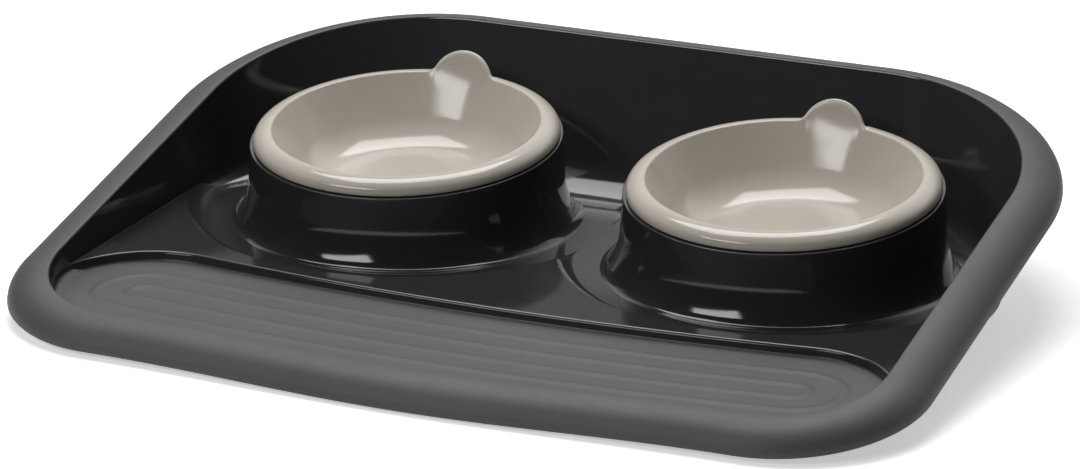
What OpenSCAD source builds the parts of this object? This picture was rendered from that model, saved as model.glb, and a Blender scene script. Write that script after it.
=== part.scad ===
/* [Tray] */
// Overall width across the rolled lip
tray_w = 395; // [380:1:420]
// Overall depth across the rolled lip
tray_d = 305; // [300:1:325]
// Wall thickness of the moulding
wall_t = 2.8; // [2.2:0.1:3.2]
// How far the rolled lip stands out from the inner edge of the wall
lip_w = 17.5; // [15:0.5:19]
// How far the rolled lip drops from its crest to its lower edge
lip_drop = 11.5; // [9.5:0.5:12]
// Rounding of the inner edge of the lip
lip_edge_r = 1.2; // [0.8:0.1:1.6]
// Height of the lip's crest above the ground at the front corners
crest_front_z = 13.9; // [13.5:0.1:18]
// Height of the lip's crest above the ground along the back
crest_back_z = 69.6; // [60:0.5:85]
// How far the front edge bulges forward in the middle
front_bow = 6; // [3:0.5:8]
// Plan radius of the two front corners, at the inner edge of the lip
front_corner_r = 41; // [38:1:45]
// Plan radius of the two rear corners, at the inner edge of the lip
rear_corner_r = 86; // [80:1:92]

/* [Basin] */
// Height of the platform that carries the bowls above the ground
platform_z = 13.5; // [13:0.1:15]
// How far the floor of the spill channel lies under the platform
channel_depth = 4.3; // [3.5:0.1:5]
// How far the back wall leans out from the floor to the crest
rear_run = 37; // [30:1:40]
// How far the side walls lean out from the floor to the crest
side_run = 0.6; // [0.3:0.1:2]
// How far the front wall leans out from the floor to the crest
front_run = 0.5; // [0.3:0.1:1]
// Plan radius of the rear corners where the wall meets the floor
rear_base_r = 72; // [68:1:76]
// Radius of the cove at the foot of the side walls
side_cove_r = 5; // [4.5:0.5:7]
// Radius of the cove at the foot of the back wall
rear_cove_r = 30; // [24:1:34]
// Radius of the cove at the foot of the front wall
front_cove_r = 2.5; // [2:0.1:3]
// Depth of the recess round each pedestal
recess_depth = 4; // [2.5:0.1:4.1]
// Radius of the recess round each pedestal
recess_r = 94.5; // [90:0.5:94.5]
// Plan width of the cove at the edge of the recess
recess_cove_w = 8; // [5:0.5:8]

/* [Spill channel] */
// Half the width of the spill channel, and the radius of its rear corners
channel_half = 39; // [36:0.5:40]
// How far the channel bulges forward in the middle
channel_bow = 9; // [6:0.5:10]
// Gap between the channel's round ends and the front edge of the wall
channel_margin = 1; // [0.5:0.5:2]
// Rounding at the top and the foot of the step down into the channel
step_r = 1.5; // [1:0.1:1.8]
// Number of ring-shaped ribs on the floor of the channel
rib_count = 2; // [1:1:2]
// Distance between neighbouring ribs
rib_pitch = 13.8; // [12:0.1:14]
// Width of a rib at its foot
rib_w = 7.5; // [6:0.5:8]
// Height of a rib
rib_h = 0.6; // [0.4:0.1:1]

/* [Pedestals] */
// How much nearer to the middle of the tray each bowl stands than midway to the side's crest
bowl_shift = 4.5; // [4:0.5:6]
// Distance of the bowl centres from the inner edge of the lip at the back
bowl_back_gap = 89.5; // [88:0.5:91]
// Forward tilt of the bowls, in degrees
bowl_tilt = 5.4; // [0:0.2:7]
// Radius of a pedestal at its foot, without the flare
pedestal_base_r = 67.9; // [67.5:0.1:68.5]
// Radius of a pedestal just under the bowl's rim
pedestal_top_r = 66.2; // [65.8:0.1:66.6]
// Radius of the gentle flare of a pedestal's side toward its foot
pedestal_bell_r = 32; // [26:1:36]
// Angle from level at which the flare runs into the foot's cove, in degrees
pedestal_bell_end = 60; // [56:1:64]
// Radius of the cove at the foot of a pedestal
pedestal_cove_r = 5; // [3:0.5:6]
// Wall of a pedestal
pedestal_t = 2.8; // [2.2:0.1:3.2]
// Thickness of the raised ring that carries the bowl
spigot_t = 3.2; // [2.5:0.1:3.4]

/* [Bowls] */
// Height above the ground of the middle of the bowl's opening
bowl_crest_z = 50.6; // [44:0.2:54]
// Outer radius of the bowl's rolled rim
rim_r = 65; // [64:0.1:66]
// Radius of the bowl's opening, at the crest of the rim
opening_r = 57.6; // [57.4:0.1:58]
// Height of the rolled rim
rim_drop = 6.1; // [5.6:0.1:7]
// Rounding of the inner edge of the rim
rim_edge_r = 1.2; // [0.8:0.1:1.6]
// Wall thickness of the bowl
bowl_t = 2.2; // [1.8:0.1:2.4]
// Depth of the bowl inside
bowl_depth = 26; // [22:0.5:30]
// Slope of the bowl's side, in degrees from level
bowl_slope = 57; // [54:1:62]
// Radius between the bowl's side and its bottom
bowl_bottom_r = 22; // [14:1:26]
// Radius of the finger tab's round top
ear_r = 14.6; // [12:0.2:16]
// Height of the finger tab above the rim
ear_h = 9; // [7:0.5:11]
// Radius where the finger tab runs into the rim
ear_blend_r = 5; // [3:0.5:6]
// Slope of the finger tab, in degrees from level
ear_slope = 66; // [60:1:72]

/* [Rubber feet] */
// Radius of a rubber foot
foot_r = 8; // [7:0.5:8.5]
// Height of a rubber foot
foot_h = 3; // [2.5:0.1:3.5]
// How much of a rubber foot shows under its cup
foot_show = 1.5; // [1:0.1:1.8]
// Rounding of a foot's lower edge
foot_edge_r = 0.6; // [0.3:0.1:0.8]
// Wall of the moulded cup that holds a foot
cup_t = 2; // [1.5:0.1:2.5]
// How far the centres of the rear feet stand out from the pedestals' foot
rear_foot_gap = 7.1; // [6:0.1:8]
// Direction of the rear feet from the pedestals' middle, in degrees behind the side
rear_foot_turn = 15; // [10:1:20]

/* [Fits] */
// Gap between a bowl and the pedestal that carries it
seat_gap = 0.3; // [0.2:0.05:0.4]
// Radial gap between a pedestal's raised ring and the bowl's rim
ring_gap = 0.4; // [0.3:0.1:0.6]
// Radial gap between a rubber foot and its cup
foot_gap = 0.1; // [0.05:0.05:0.2]

/* [Hidden] */
$fn = 96;
overrun = 5;
embed = 0.5;

// Number of steps along each stretch of the tray's outline
front_steps = 16;
front_corner_steps = 8;
side_steps = 5;
rear_corner_steps = 12;
back_steps = 6;
// Number of steps along the ends and the middle of the spill channel
end_steps = 12;
middle_steps = 14;
// Number of steps round each curve of the tray's section
cove_steps = 5;
edge_steps = 2;
lip_steps = 7;
under_lip_steps = 5;
step_steps = 4;
rib_steps = 6;
round_steps = 6;
// Number of steps along the flare of a pedestal's side, and along the cove at its foot
bell_steps = 4;
// Where the finger tab leaves the rim's inner edge, as a share of that edge's rounding
rim_meet_share = 0.9;
// Angle over which the step's roundings fade out beside the side wall
step_fade = 40;
// Shares of the wall's height at which the inside of the basin is measured for the pedestals
inside_shares = [0, 0.12, 0.25, 0.4, 1];
// The outer cove's radius as a share of the inner one's
outer_cove_share = 0.6;
// Where the underside of the lip leaves the wall, as a share of its quarter turn
lip_root_share = 0.35;
// Drop of the wall's outer top below the underside of the lip, as a share of the wall
lip_root_drop_share = 0.3;

floor_z = platform_z - channel_depth;
recess_z = platform_z - recess_depth;
under_z = floor_z - wall_t;
crest_half = tray_w / 2 - lip_w;
crest_front_y = front_bow + lip_w - tray_d / 2;
crest_back_y = tray_d / 2 - lip_w;
crest_rise = (crest_back_z - crest_front_z) / (crest_back_y - crest_front_y);
base_half = crest_half - side_run;
base_front_y = crest_front_y + front_run;
base_back_y = crest_back_y - rear_run;
base_front_r = front_corner_r - front_run;

channel_y = crest_front_y + channel_half + channel_margin;
channel_reach = base_half + embed / 2 - channel_half;
channel_line_r = (channel_reach * channel_reach + channel_bow * channel_bow) / (2 * channel_bow);
channel_pivot_y = channel_y + sqrt(channel_line_r * channel_line_r - channel_reach * channel_reach);
channel_swing = asin(channel_reach / channel_line_r);

axis_crest = (bowl_crest_z - recess_z) / cos(bowl_tilt);
shoulder = axis_crest - rim_drop - seat_gap;
bowl_spacing = crest_half - 2 * bowl_shift;
bowl_y = crest_back_y - bowl_back_gap;
pedestal_flare = (pedestal_base_r - pedestal_top_r) / shoulder;
pedestal_y = bowl_y - shoulder * sin(bowl_tilt);
side_turn = 90 - atan(pedestal_flare);
bell_end_z = recess_z + pedestal_cove_r * (1 - cos(pedestal_bell_end));
bell_top_z = bell_end_z + pedestal_bell_r * (cos(pedestal_bell_end) - cos(side_turn));
bell_middle = [
    pedestal_base_r - pedestal_flare * (bell_top_z - recess_z) + pedestal_bell_r * sin(side_turn),
    bell_top_z + pedestal_bell_r * cos(side_turn)
];
foot_end_r = bell_middle[0] - (pedestal_bell_r - pedestal_cove_r) * sin(pedestal_bell_end);
groove_top = bowl_t + rim_edge_r / 2;
skirt_in_r = rim_r - bowl_t;
spigot_out_r = skirt_in_r - ring_gap;
spigot_in_r = spigot_out_r - spigot_t;

// Position along a straight front edge, with a smooth bulge
function bow(x, half, depth) = depth * (1 + cos(180 * x / half)) / 2;

// One arc of an outline: centre, radius and the two angles, without its last point
function arc(c, r, a0, a1, n) = [
    for (i = [0 : n - 1])
        let (a = a0 + (a1 - a0) * i / n)
        [c[0] + r * cos(a), c[1] + r * sin(a), cos(a), sin(a)]
];

// One straight stretch of an outline: two ends and its outward normal, without its last point
function run(p, q, nx, ny, n) = [
    for (i = [0 : n - 1])
        [p[0] + (q[0] - p[0]) * i / n, p[1] + (q[1] - p[1]) * i / n, nx, ny]
];

// The tray's plan outline, as x, y and the outward normal, counter-clockwise from the front left
function plan(half, yf, yb, rf, rb, bulge) = concat(
    [
        for (i = [0 : front_steps - 1])
            let (x = (half - rf) * (2 * i / front_steps - 1))
            [x, yf - bow(x, half - rf, bulge), 0, -1]
    ],
    arc([half - rf, yf + rf], rf, -90, 0, front_corner_steps),
    run([half, yf + rf], [half, yb - rb], 1, 0, side_steps),
    arc([half - rb, yb - rb], rb, 0, 90, rear_corner_steps),
    run([half - rb, yb], [rb - half, yb], 0, 1, back_steps),
    arc([rb - half, yb - rb], rb, 90, 180, rear_corner_steps),
    run([-half, yb - rb], [-half, yf + rf], -1, 0, side_steps),
    arc([rf - half, yf + rf], rf, 180, 270, front_corner_steps)
);

crest_plan = plan(crest_half, crest_front_y, crest_back_y, front_corner_r, rear_corner_r, front_bow);
base_plan = plan(base_half, base_front_y, base_back_y, base_front_r, rear_base_r, front_bow);
plan_n = len(crest_plan);

function crest_z(k) = crest_front_z + crest_rise * (crest_plan[k][1] - crest_front_y);
function normal(k) = [base_plan[k][2], base_plan[k][3]];
function lean_run(k) =
    (crest_plan[k][0] - base_plan[k][0]) * normal(k)[0] + (crest_plan[k][1] - base_plan[k][1]) * normal(k)[1];
function lean(k) = atan(lean_run(k) / (crest_z(k) - floor_z));

// The cove's radius goes from the front value to the side value and on to the back value
function cove_r(k) =
    let (ny = normal(k)[1])
    ny < 0 ? side_cove_r + (front_cove_r - side_cove_r) * ny * ny
           : side_cove_r + (rear_cove_r - side_cove_r) * ny * ny;

// A point of the wall at outline point k: height z, and how far it stands out from the sloping wall line
function wall_point(k, z, out) =
    let (rise_share = (z - floor_z) / (crest_z(k) - floor_z))
    [
        base_plan[k][0] + (crest_plan[k][0] - base_plan[k][0]) * rise_share + normal(k)[0] * out,
        base_plan[k][1] + (crest_plan[k][1] - base_plan[k][1]) * rise_share + normal(k)[1] * out,
        z
    ];

// A point of the lip at outline point k: how far out from the crest, and how far down
function lip_point(k, out, down) = [
    crest_plan[k][0] + normal(k)[0] * out,
    crest_plan[k][1] + normal(k)[1] * out,
    crest_z(k) - down
];

// How far a cove of radius r stands in from its wall line, part of the way through its turn
function cove_in(k, r, turn) = r * sin(turn) - r * tan((90 - lean(k)) / 2) - tan(lean(k)) * r * (1 - cos(turn));

// The same at height h above the floor
function cove_in_at(k, h) =
    let (r = cove_r(k))
    cove_in(k, r, min(90 - lean(k), acos(max(-1, 1 - h / r))));

inner_ring = [
    for (j = [0 : cove_steps])
        [
            for (k = [0 : plan_n - 1])
                let (turn = (90 - lean(k)) * j / cove_steps, r = cove_r(k))
                wall_point(k, floor_z + r * (1 - cos(turn)), cove_in(k, r, turn))
        ]
];
edge_ring = [
    for (j = [0 : edge_steps])
        [
            for (k = [0 : plan_n - 1])
                let (turn = 90 * j / edge_steps)
                lip_point(k, lip_edge_r * (1 - cos(turn)), lip_edge_r * (1 - sin(turn)))
        ]
];
lip_ring = [
    for (j = [1 : lip_steps])
        [
            for (k = [0 : plan_n - 1])
                let (turn = 90 * j / lip_steps)
                lip_point(k, lip_edge_r + (lip_w - lip_edge_r) * sin(turn), lip_drop * (1 - cos(turn)))
        ]
];
under_lip_ring = [
    for (j = [0 : under_lip_steps])
        [
            for (k = [0 : plan_n - 1])
                let (turn = 90 * (1 - (1 - lip_root_share) * j / under_lip_steps))
                lip_point(
                    k,
                    lip_edge_r + (lip_w - wall_t - lip_edge_r) * sin(turn),
                    wall_t + (lip_drop - wall_t) * (1 - cos(turn))
                )
        ]
];
outer_top_ring = [
    [
        for (k = [0 : plan_n - 1])
            wall_point(k, crest_z(k) - wall_t * (1 + lip_root_drop_share), wall_t / cos(lean(k)))
    ]
];
outer_ring = [
    for (j = [cove_steps : -1 : 0])
        [
            for (k = [0 : plan_n - 1])
                let (turn = (90 - lean(k)) * j / cove_steps, r = cove_r(k) * outer_cove_share)
                wall_point(k, under_z + r * (1 - cos(turn)), wall_t / cos(lean(k)) + cove_in(k, r, turn))
        ]
];
shell_rings = concat(inner_ring, edge_ring, lip_ring, under_lip_ring, outer_top_ring, outer_ring);

// Triangles between two chains of points a and b, from their first points to their last
function strip(p, a, b, i = 0, j = 0) =
    let (more_a = i < len(a) - 1, more_b = j < len(b) - 1)
    !more_a && !more_b ? [] :
    more_a && (!more_b || norm(p[a[i + 1]] - p[b[j]]) <= norm(p[a[i]] - p[b[j + 1]]))
        ? concat([[a[i], a[i + 1], b[j]]], strip(p, a, b, i + 1, j))
        : concat([[a[i], b[j + 1], b[j]]], strip(p, a, b, i, j + 1));

// A closed skin through a list of rings of points, with the given triangles over the first and last ring
module ring_skin(rings, cap) {
    n = len(rings[0]);
    m = len(rings);
    last = n * (m - 1);
    quads = [
        for (j = [0 : m - 2])
            for (k = [0 : n - 1])
                let (a = j * n + k, b = j * n + (k + 1) % n, c = a + n, d = b + n)
                each [[a, b, d], [a, d, c]]
    ];
    polyhedron(
        points = [for (ring = rings) each ring],
        faces = concat(
            quads,
            [for (t = cap) [t[1], t[0], t[2]]],
            [for (t = cap) [t[0] + last, t[1] + last, t[2] + last]]
        ),
        convexity = 8
    );
}

plan_turn = front_steps + front_corner_steps + side_steps + rear_corner_steps / 2;
plan_cap = strip(
    inner_ring[0],
    [for (k = [0 : plan_turn]) k],
    [for (k = [plan_n - 1 : -1 : plan_turn + 1]) k]
);

// The moulded shell: floor, coved walls and the hollow rolled lip
module tray_shell() {
    ring_skin(shell_rings, plan_cap);
}

// The space inside the basin, from a height up, moved outward by a small amount
module basin_inside(from, out) {
    levels = [
        for (share = inside_shares)
            [
                for (k = [0 : plan_n - 1])
                    let (
                        top = max(crest_z(k), platform_z + overrun),
                        z = platform_z + (top - platform_z) * share
                    )
                    wall_point(k, z, cove_in_at(k, z - floor_z) + out)
            ]
    ];
    ring_skin(
        [
            for (p = [crest_back_z + overrun]) [for (q = levels[len(levels) - 1]) [q[0], q[1], p]],
            for (i = [len(levels) - 1 : -1 : 0]) levels[i],
            for (p = [from]) [for (q = levels[0]) [q[0], q[1], p]]
        ],
        plan_cap
    );
}

// One point of the line where the platform's edge turns down, at an angle round the left end of the channel
function end_point(a) = [
    channel_half * cos(a) - channel_reach,
    channel_half * sin(a) + channel_y,
    -cos(a),
    -sin(a),
    min(1, (180 - a) / step_fade)
];

// The platform's front edge from left to right: x, y, direction to the channel, share of the rounding
edge_line = concat(
    [for (i = [0 : end_steps]) end_point(180 - (90 + channel_swing) * i / end_steps)],
    [
        for (i = [1 : middle_steps - 1])
            let (a = 270 - channel_swing + 2 * channel_swing * i / middle_steps, r = channel_line_r - channel_half)
            [r * cos(a), channel_pivot_y + r * sin(a), cos(a), sin(a), 1]
    ],
    [
        for (i = [end_steps : -1 : 0])
            let (q = end_point(180 - (90 + channel_swing) * i / end_steps))
            [-q[0], q[1], -q[2], q[3], q[4]]
    ]
);
// The platform's edge along the walls, just inside their thickness, from right to left
wall_line = [
    for (k = [0 : plan_n - 1])
        let (q = wall_point(k, platform_z, cove_in_at(k, channel_depth) + embed / 2))
        if (q[1] > channel_y + channel_half / 2)
            [q[0], q[1], 0, 0, 0]
];

// One level of the platform: height, and how far its front edge has moved toward the channel
function platform_ring(z, out) = [
    for (q = concat(edge_line, wall_line))
        [q[0] + q[2] * q[4] * out, q[1] + q[3] * q[4] * out, z]
];

// The platform behind the channel, with the rounded step down into it
module platform_block() {
    rings = concat(
        [
            for (i = [0 : step_steps])
                let (a = 90 * i / step_steps)
                platform_ring(platform_z - step_r * (1 - cos(a)), step_r * sin(a))
        ],
        [
            for (i = [0 : step_steps])
                let (a = 90 * i / step_steps)
                platform_ring(floor_z + step_r * (1 - sin(a)), step_r * (2 - cos(a)))
        ],
        [platform_ring(floor_z - embed, 2 * step_r)]
    );
    n = len(rings[0]);
    ring_skin(
        rings,
        strip(
            rings[0],
            [for (i = [0 : len(edge_line) - 1]) i],
            [for (i = [n - 1 : -1 : len(edge_line)]) i]
        )
    );
}

module platform() {
    difference() {
        platform_block();
        recess_cut(-1);
        recess_cut(1);
    }
}

// The closed line along the crest of a rib: x, y and the outward direction
function rib_line(half) = concat(
    [
        for (i = [0 : middle_steps - 1])
            let (a = 270 - channel_swing + 2 * channel_swing * i / middle_steps, r = channel_line_r + half)
            [r * cos(a), channel_pivot_y + r * sin(a), cos(a), sin(a)]
    ],
    [
        for (i = [0 : end_steps - 1])
            let (a = channel_swing - 90 + 180 * i / end_steps)
            [channel_reach + half * cos(a), channel_y + half * sin(a), cos(a), sin(a)]
    ],
    [
        for (i = [0 : middle_steps - 1])
            let (a = 270 + channel_swing - 2 * channel_swing * i / middle_steps, r = channel_line_r - half)
            [r * cos(a), channel_pivot_y + r * sin(a), -cos(a), -sin(a)]
    ],
    [
        for (i = [0 : end_steps - 1])
            let (a = 90 - channel_swing + 180 * i / end_steps)
            [half * cos(a) - channel_reach, channel_y + half * sin(a), cos(a), sin(a)]
    ]
);

// One ring-shaped rib on the channel's floor, with a low round section sunk a little into the floor
module rib_ring(half) {
    crown_r = (rib_w * rib_w / 4 + rib_h * rib_h) / (2 * rib_h);
    crown_turn = acos(1 - (rib_h + embed) / crown_r);
    line = rib_line(half);
    n = len(line);
    m = rib_steps + 1;
    polyhedron(
        points = [
            for (i = [0 : rib_steps])
                let (a = crown_turn * (1 - 2 * i / rib_steps))
                for (q = line)
                    [
                        q[0] + q[2] * crown_r * sin(a),
                        q[1] + q[3] * crown_r * sin(a),
                        floor_z + rib_h - crown_r * (1 - cos(a))
                    ]
        ],
        faces = [
            for (i = [0 : rib_steps])
                for (k = [0 : n - 1])
                    let (
                        a = i * n + k,
                        b = i * n + (k + 1) % n,
                        c = (i + 1) % m * n + k,
                        d = (i + 1) % m * n + (k + 1) % n
                    )
                    each [[a, d, b], [a, c, d]]
        ],
        convexity = 4
    );
}

// The shallow recess round a pedestal
module recess_cut(side) {
    cove_r = (recess_cove_w * recess_cove_w + recess_depth * recess_depth) / (2 * recess_depth);
    cove_turn = asin(recess_cove_w / cove_r);
    translate([side * bowl_spacing / 2, bowl_y, 0])
        rotate_extrude()
            polygon(concat(
                [[0, platform_z + overrun], [0, recess_z]],
                [
                    for (i = [0 : round_steps])
                        let (a = cove_turn * i / round_steps)
                        [recess_r - recess_cove_w + cove_r * sin(a), recess_z + cove_r * (1 - cos(a))]
                ],
                [[recess_r, platform_z + overrun]]
            ));
}

// Puts its children in a bowl's own frame: the origin where its axis meets the floor, +Z along the axis
module bowl_frame(side) {
    translate([side * bowl_spacing / 2, bowl_y, recess_z])
        rotate([bowl_tilt, 0, 0])
            children();
}

// The flare of a pedestal's side from its foot up, moved inward by a shift
function bell(shift) = [
    for (i = [0 : bell_steps])
        let (a = pedestal_bell_end + (side_turn - pedestal_bell_end) * i / bell_steps, r = pedestal_bell_r + shift)
        [bell_middle[0] - r * sin(a), bell_middle[1] - r * cos(a)]
];

// The outside of a pedestal: upright with a gentle flare and a cove at its foot, cut off square to the bowl's axis,
// and the ring that carries the bowl
module pedestal_body(side) {
    high = shoulder + pedestal_base_r * sin(bowl_tilt) + overrun;
    intersection() {
        translate([side * bowl_spacing / 2, pedestal_y, 0])
            rotate_extrude()
                polygon(concat(
                    [[0, recess_z - embed], [foot_end_r, recess_z - embed]],
                    [
                        for (i = [0 : bell_steps - 1])
                            let (a = pedestal_bell_end * i / bell_steps)
                            [foot_end_r - pedestal_cove_r * sin(a), recess_z + pedestal_cove_r * (1 - cos(a))]
                    ],
                    bell(0),
                    [[pedestal_base_r - pedestal_flare * high, recess_z + high], [0, recess_z + high]]
                ));
        bowl_frame(side)
            translate([0, 0, -pedestal_base_r])
                cylinder(r = foot_end_r + overrun, h = shoulder + pedestal_base_r);
    }
    bowl_frame(side)
        cylinder(r = spigot_out_r, h = axis_crest - groove_top - seat_gap);
}

// The hollow inside a pedestal, open at the top for the bowl and open underneath
module pedestal_hollow(side) {
    neck = shoulder - pedestal_t;
    high = shoulder + pedestal_base_r * sin(bowl_tilt) + overrun;
    inner = bell(pedestal_t);
    intersection() {
        translate([side * bowl_spacing / 2, pedestal_y, 0])
            rotate_extrude()
                polygon(concat(
                    [[0, under_z - overrun], [inner[0][0], under_z - overrun]],
                    inner,
                    [
                        [pedestal_base_r - pedestal_flare * high - pedestal_t / sin(side_turn), recess_z + high],
                        [0, recess_z + high]
                    ]
                ));
        bowl_frame(side)
            translate([0, 0, -pedestal_base_r])
                cylinder(r = foot_end_r + overrun, h = neck + pedestal_base_r);
    }
    bowl_frame(side)
        translate([0, 0, neck - embed])
            cylinder(r = spigot_in_r, h = axis_crest);
}

// Places of the four rubber feet
foot_places = [
    [-channel_reach, channel_y],
    [channel_reach, channel_y],
    for (side = [-1, 1])
        [
            side * (bowl_spacing / 2 + (pedestal_base_r + rear_foot_gap) * cos(rear_foot_turn)),
            pedestal_y + (pedestal_base_r + rear_foot_gap) * sin(rear_foot_turn)
        ]
];

// The moulded cups under the floor that hold the rubber feet
module foot_cups() {
    for (place = foot_places)
        translate([place[0], place[1], foot_show])
            difference() {
                cylinder(r = foot_r + foot_gap + cup_t, h = under_z + wall_t / 2 - foot_show);
                translate([0, 0, -overrun])
                    cylinder(r = foot_r + foot_gap, h = foot_h - foot_show + overrun);
            }
}

module tray() {
    color("#4a4a4c")
        union() {
            difference() {
                union() {
                    tray_shell();
                    platform();
                    intersection() {
                        for (side = [-1, 1])
                            pedestal_body(side);
                        basin_inside(floor_z - wall_t / 2, embed);
                    }
                    for (i = [0 : rib_count - 1])
                        rib_ring(rib_pitch * (i + 1 / 2));
                }
                intersection() {
                    for (side = [-1, 1])
                        pedestal_hollow(side);
                    basin_inside(under_z - overrun, -embed);
                }
            }
            foot_cups();
        }
}

// The bowl's half section in its own frame, with its crest at height 0
module bowl_section() {
    run_in = bowl_t / sin(bowl_slope);
    wall_top = [opening_r - rim_edge_r, -rim_edge_r];
    corner = [wall_top[0] - (bowl_depth - rim_edge_r) / tan(bowl_slope), -bowl_depth];
    reach = bowl_bottom_r * tan(bowl_slope / 2);
    centre = [corner[0] - reach, bowl_bottom_r - bowl_depth];
    out_r = bowl_bottom_r + bowl_t;
    polygon(concat(
        [[0, -bowl_depth]],
        [
            for (i = [0 : round_steps])
                let (a = bowl_slope * i / round_steps)
                [centre[0] + bowl_bottom_r * sin(a), centre[1] - bowl_bottom_r * cos(a)]
        ],
        [
            for (i = [0 : round_steps])
                let (a = 90 * i / round_steps)
                [opening_r - rim_edge_r * cos(a), rim_edge_r * (sin(a) - 1)]
        ],
        [
            for (i = [1 : round_steps])
                let (a = 90 * i / round_steps)
                [opening_r + (rim_r - opening_r) * sin(a), (rim_drop - bowl_t / 2) * (cos(a) - 1)]
        ],
        [
            [rim_r, -rim_drop],
            [skirt_in_r, -rim_drop],
            [skirt_in_r, -groove_top],
            [wall_top[0] + run_in - (groove_top - rim_edge_r) / tan(bowl_slope), -groove_top]
        ],
        [
            for (i = [round_steps : -1 : 0])
                let (a = bowl_slope * i / round_steps)
                [centre[0] + out_r * sin(a), centre[1] - out_r * cos(a)]
        ],
        [[0, -bowl_depth - bowl_t]]
    ));
}

// The outline of the finger tab, seen from the front, with its round top and hollow flanks
module ear_outline() {
    drop = ear_r - ear_h;
    reach = ear_r + ear_blend_r;
    turn = asin((drop + ear_blend_r) / reach);
    gap = reach * cos(turn);
    polygon(concat(
        [[-gap, -rim_drop], [gap, -rim_drop]],
        [
            for (i = [0 : round_steps])
                let (a = 270 - (90 - turn) * i / round_steps)
                [gap + ear_blend_r * cos(a), ear_blend_r + ear_blend_r * sin(a)]
        ],
        [
            for (i = [1 : 4 * round_steps - 1])
                let (a = turn + (180 - 2 * turn) * i / (4 * round_steps))
                [ear_r * cos(a), ear_r * sin(a) - drop]
        ],
        [
            for (i = [round_steps : -1 : 0])
                let (a = 270 + (90 - turn) * i / round_steps)
                [ear_blend_r * cos(a) - gap, ear_blend_r + ear_blend_r * sin(a)]
        ]
    ));
}

// The finger tab: the bowl's side carried on above the rim, cut to the tab's outline
module ear() {
    foot = rim_drop - bowl_t;
    top = ear_h + embed;
    in_r = opening_r - rim_edge_r * rim_meet_share;
    run_in = bowl_t / sin(ear_slope);
    intersection() {
        rotate_extrude()
            polygon([
                for (q = [[0, -foot], [0, top], [run_in, top], [run_in, -foot]])
                    [in_r + q[0] + (max(q[1], -rim_edge_r) + rim_edge_r) / tan(ear_slope), q[1]]
            ]);
        translate([0, rim_r + overrun, 0])
            rotate([90, 0, 0])
                linear_extrude(rim_r)
                    ear_outline();
    }
}

module bowl(side) {
    color("#c4bfb2")
        bowl_frame(side)
            translate([0, 0, axis_crest]) {
                rotate_extrude()
                    bowl_section();
                ear();
            }
}

module left_bowl() {
    bowl(-1);
}

module right_bowl() {
    bowl(1);
}

// One rubber foot at a place in the list
module rubber_foot(i) {
    color("#1c1c1c")
        translate([foot_places[i][0], foot_places[i][1], 0])
            rotate_extrude()
                polygon(concat(
                    [[0, 0]],
                    [
                        for (j = [0 : round_steps])
                            let (a = 90 * j / round_steps)
                            [foot_r - foot_edge_r * (1 - sin(a)), foot_edge_r * (1 - cos(a))]
                    ],
                    [[foot_r, foot_h], [0, foot_h]]
                ));
}

module front_left_foot() {
    rubber_foot(0);
}

module front_right_foot() {
    rubber_foot(1);
}

module rear_left_foot() {
    rubber_foot(2);
}

module rear_right_foot() {
    rubber_foot(3);
}

tray();
left_bowl();
right_bowl();
front_left_foot();
front_right_foot();
rear_left_foot();
rear_right_foot();
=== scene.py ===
"""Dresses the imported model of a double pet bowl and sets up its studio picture."""

from __future__ import annotations

import logging
import math
from dataclasses import dataclass, field
from enum import Enum
from typing import Callable, Iterable, Sequence

import bmesh
import bpy
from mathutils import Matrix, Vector


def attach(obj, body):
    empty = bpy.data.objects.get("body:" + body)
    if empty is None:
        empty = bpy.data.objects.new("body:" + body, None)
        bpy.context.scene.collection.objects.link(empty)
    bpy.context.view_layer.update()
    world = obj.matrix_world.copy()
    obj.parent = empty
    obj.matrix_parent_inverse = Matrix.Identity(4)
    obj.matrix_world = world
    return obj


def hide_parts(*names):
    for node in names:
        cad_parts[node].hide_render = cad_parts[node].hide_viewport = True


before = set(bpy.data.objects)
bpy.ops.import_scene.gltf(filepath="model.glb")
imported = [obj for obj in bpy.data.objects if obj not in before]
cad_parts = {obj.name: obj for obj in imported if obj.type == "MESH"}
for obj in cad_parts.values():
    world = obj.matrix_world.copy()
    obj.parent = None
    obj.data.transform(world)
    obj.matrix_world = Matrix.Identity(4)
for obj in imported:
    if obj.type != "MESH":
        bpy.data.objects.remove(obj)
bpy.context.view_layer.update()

log = logging.getLogger("pet_bowl")
logging.basicConfig(level=logging.INFO, format="%(message)s")

MM = 0.001

# A list of corners round a piece, in millimetres
Ring = list[Vector]

# Radius and height, or any other two lengths
Pair = tuple[float, float]

# A point of a line in plan: x, y and the direction square to the line
LinePoint = tuple[float, float, float, float]

Colour = tuple[float, float, float]


class Body(Enum):
    """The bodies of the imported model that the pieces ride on."""

    TRAY = "tray_body"
    LEFT = "left_bowl_body"
    RIGHT = "right_bowl_body"


class Side(Enum):
    """Which half of the tray a pedestal or a bowl stands in."""

    LEFT = -1
    RIGHT = 1


class Cut(Enum):
    """How a second solid acts on a piece."""

    TAKE_AWAY = "DIFFERENCE"
    KEEP_INSIDE = "INTERSECT"


def blend(low: float, high: float, share: float) -> float:
    """Mixes two numbers evenly."""
    return low + (high - low) * share


def ease(share: float) -> float:
    """Turns a share from 0 to 1 into one that starts and ends gently."""
    share = min(1.0, max(0.0, share))
    return share * share * (3.0 - 2.0 * share)


def arc_angles(start: float, end: float, steps: int) -> list[float]:
    """Evenly spaced angles.

    Args:
        start: first angle in radians.
        end: last angle in radians.
        steps: number of stretches between them.

    Returns:
        steps + 1 angles, both ends included.
    """
    return [blend(start, end, i / steps) for i in range(steps + 1)]


def round_angles(steps: int) -> list[float]:
    """The angles of a full turn in even steps, without the one that closes it."""
    return [2 * math.pi * i / steps for i in range(steps)]


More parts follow.
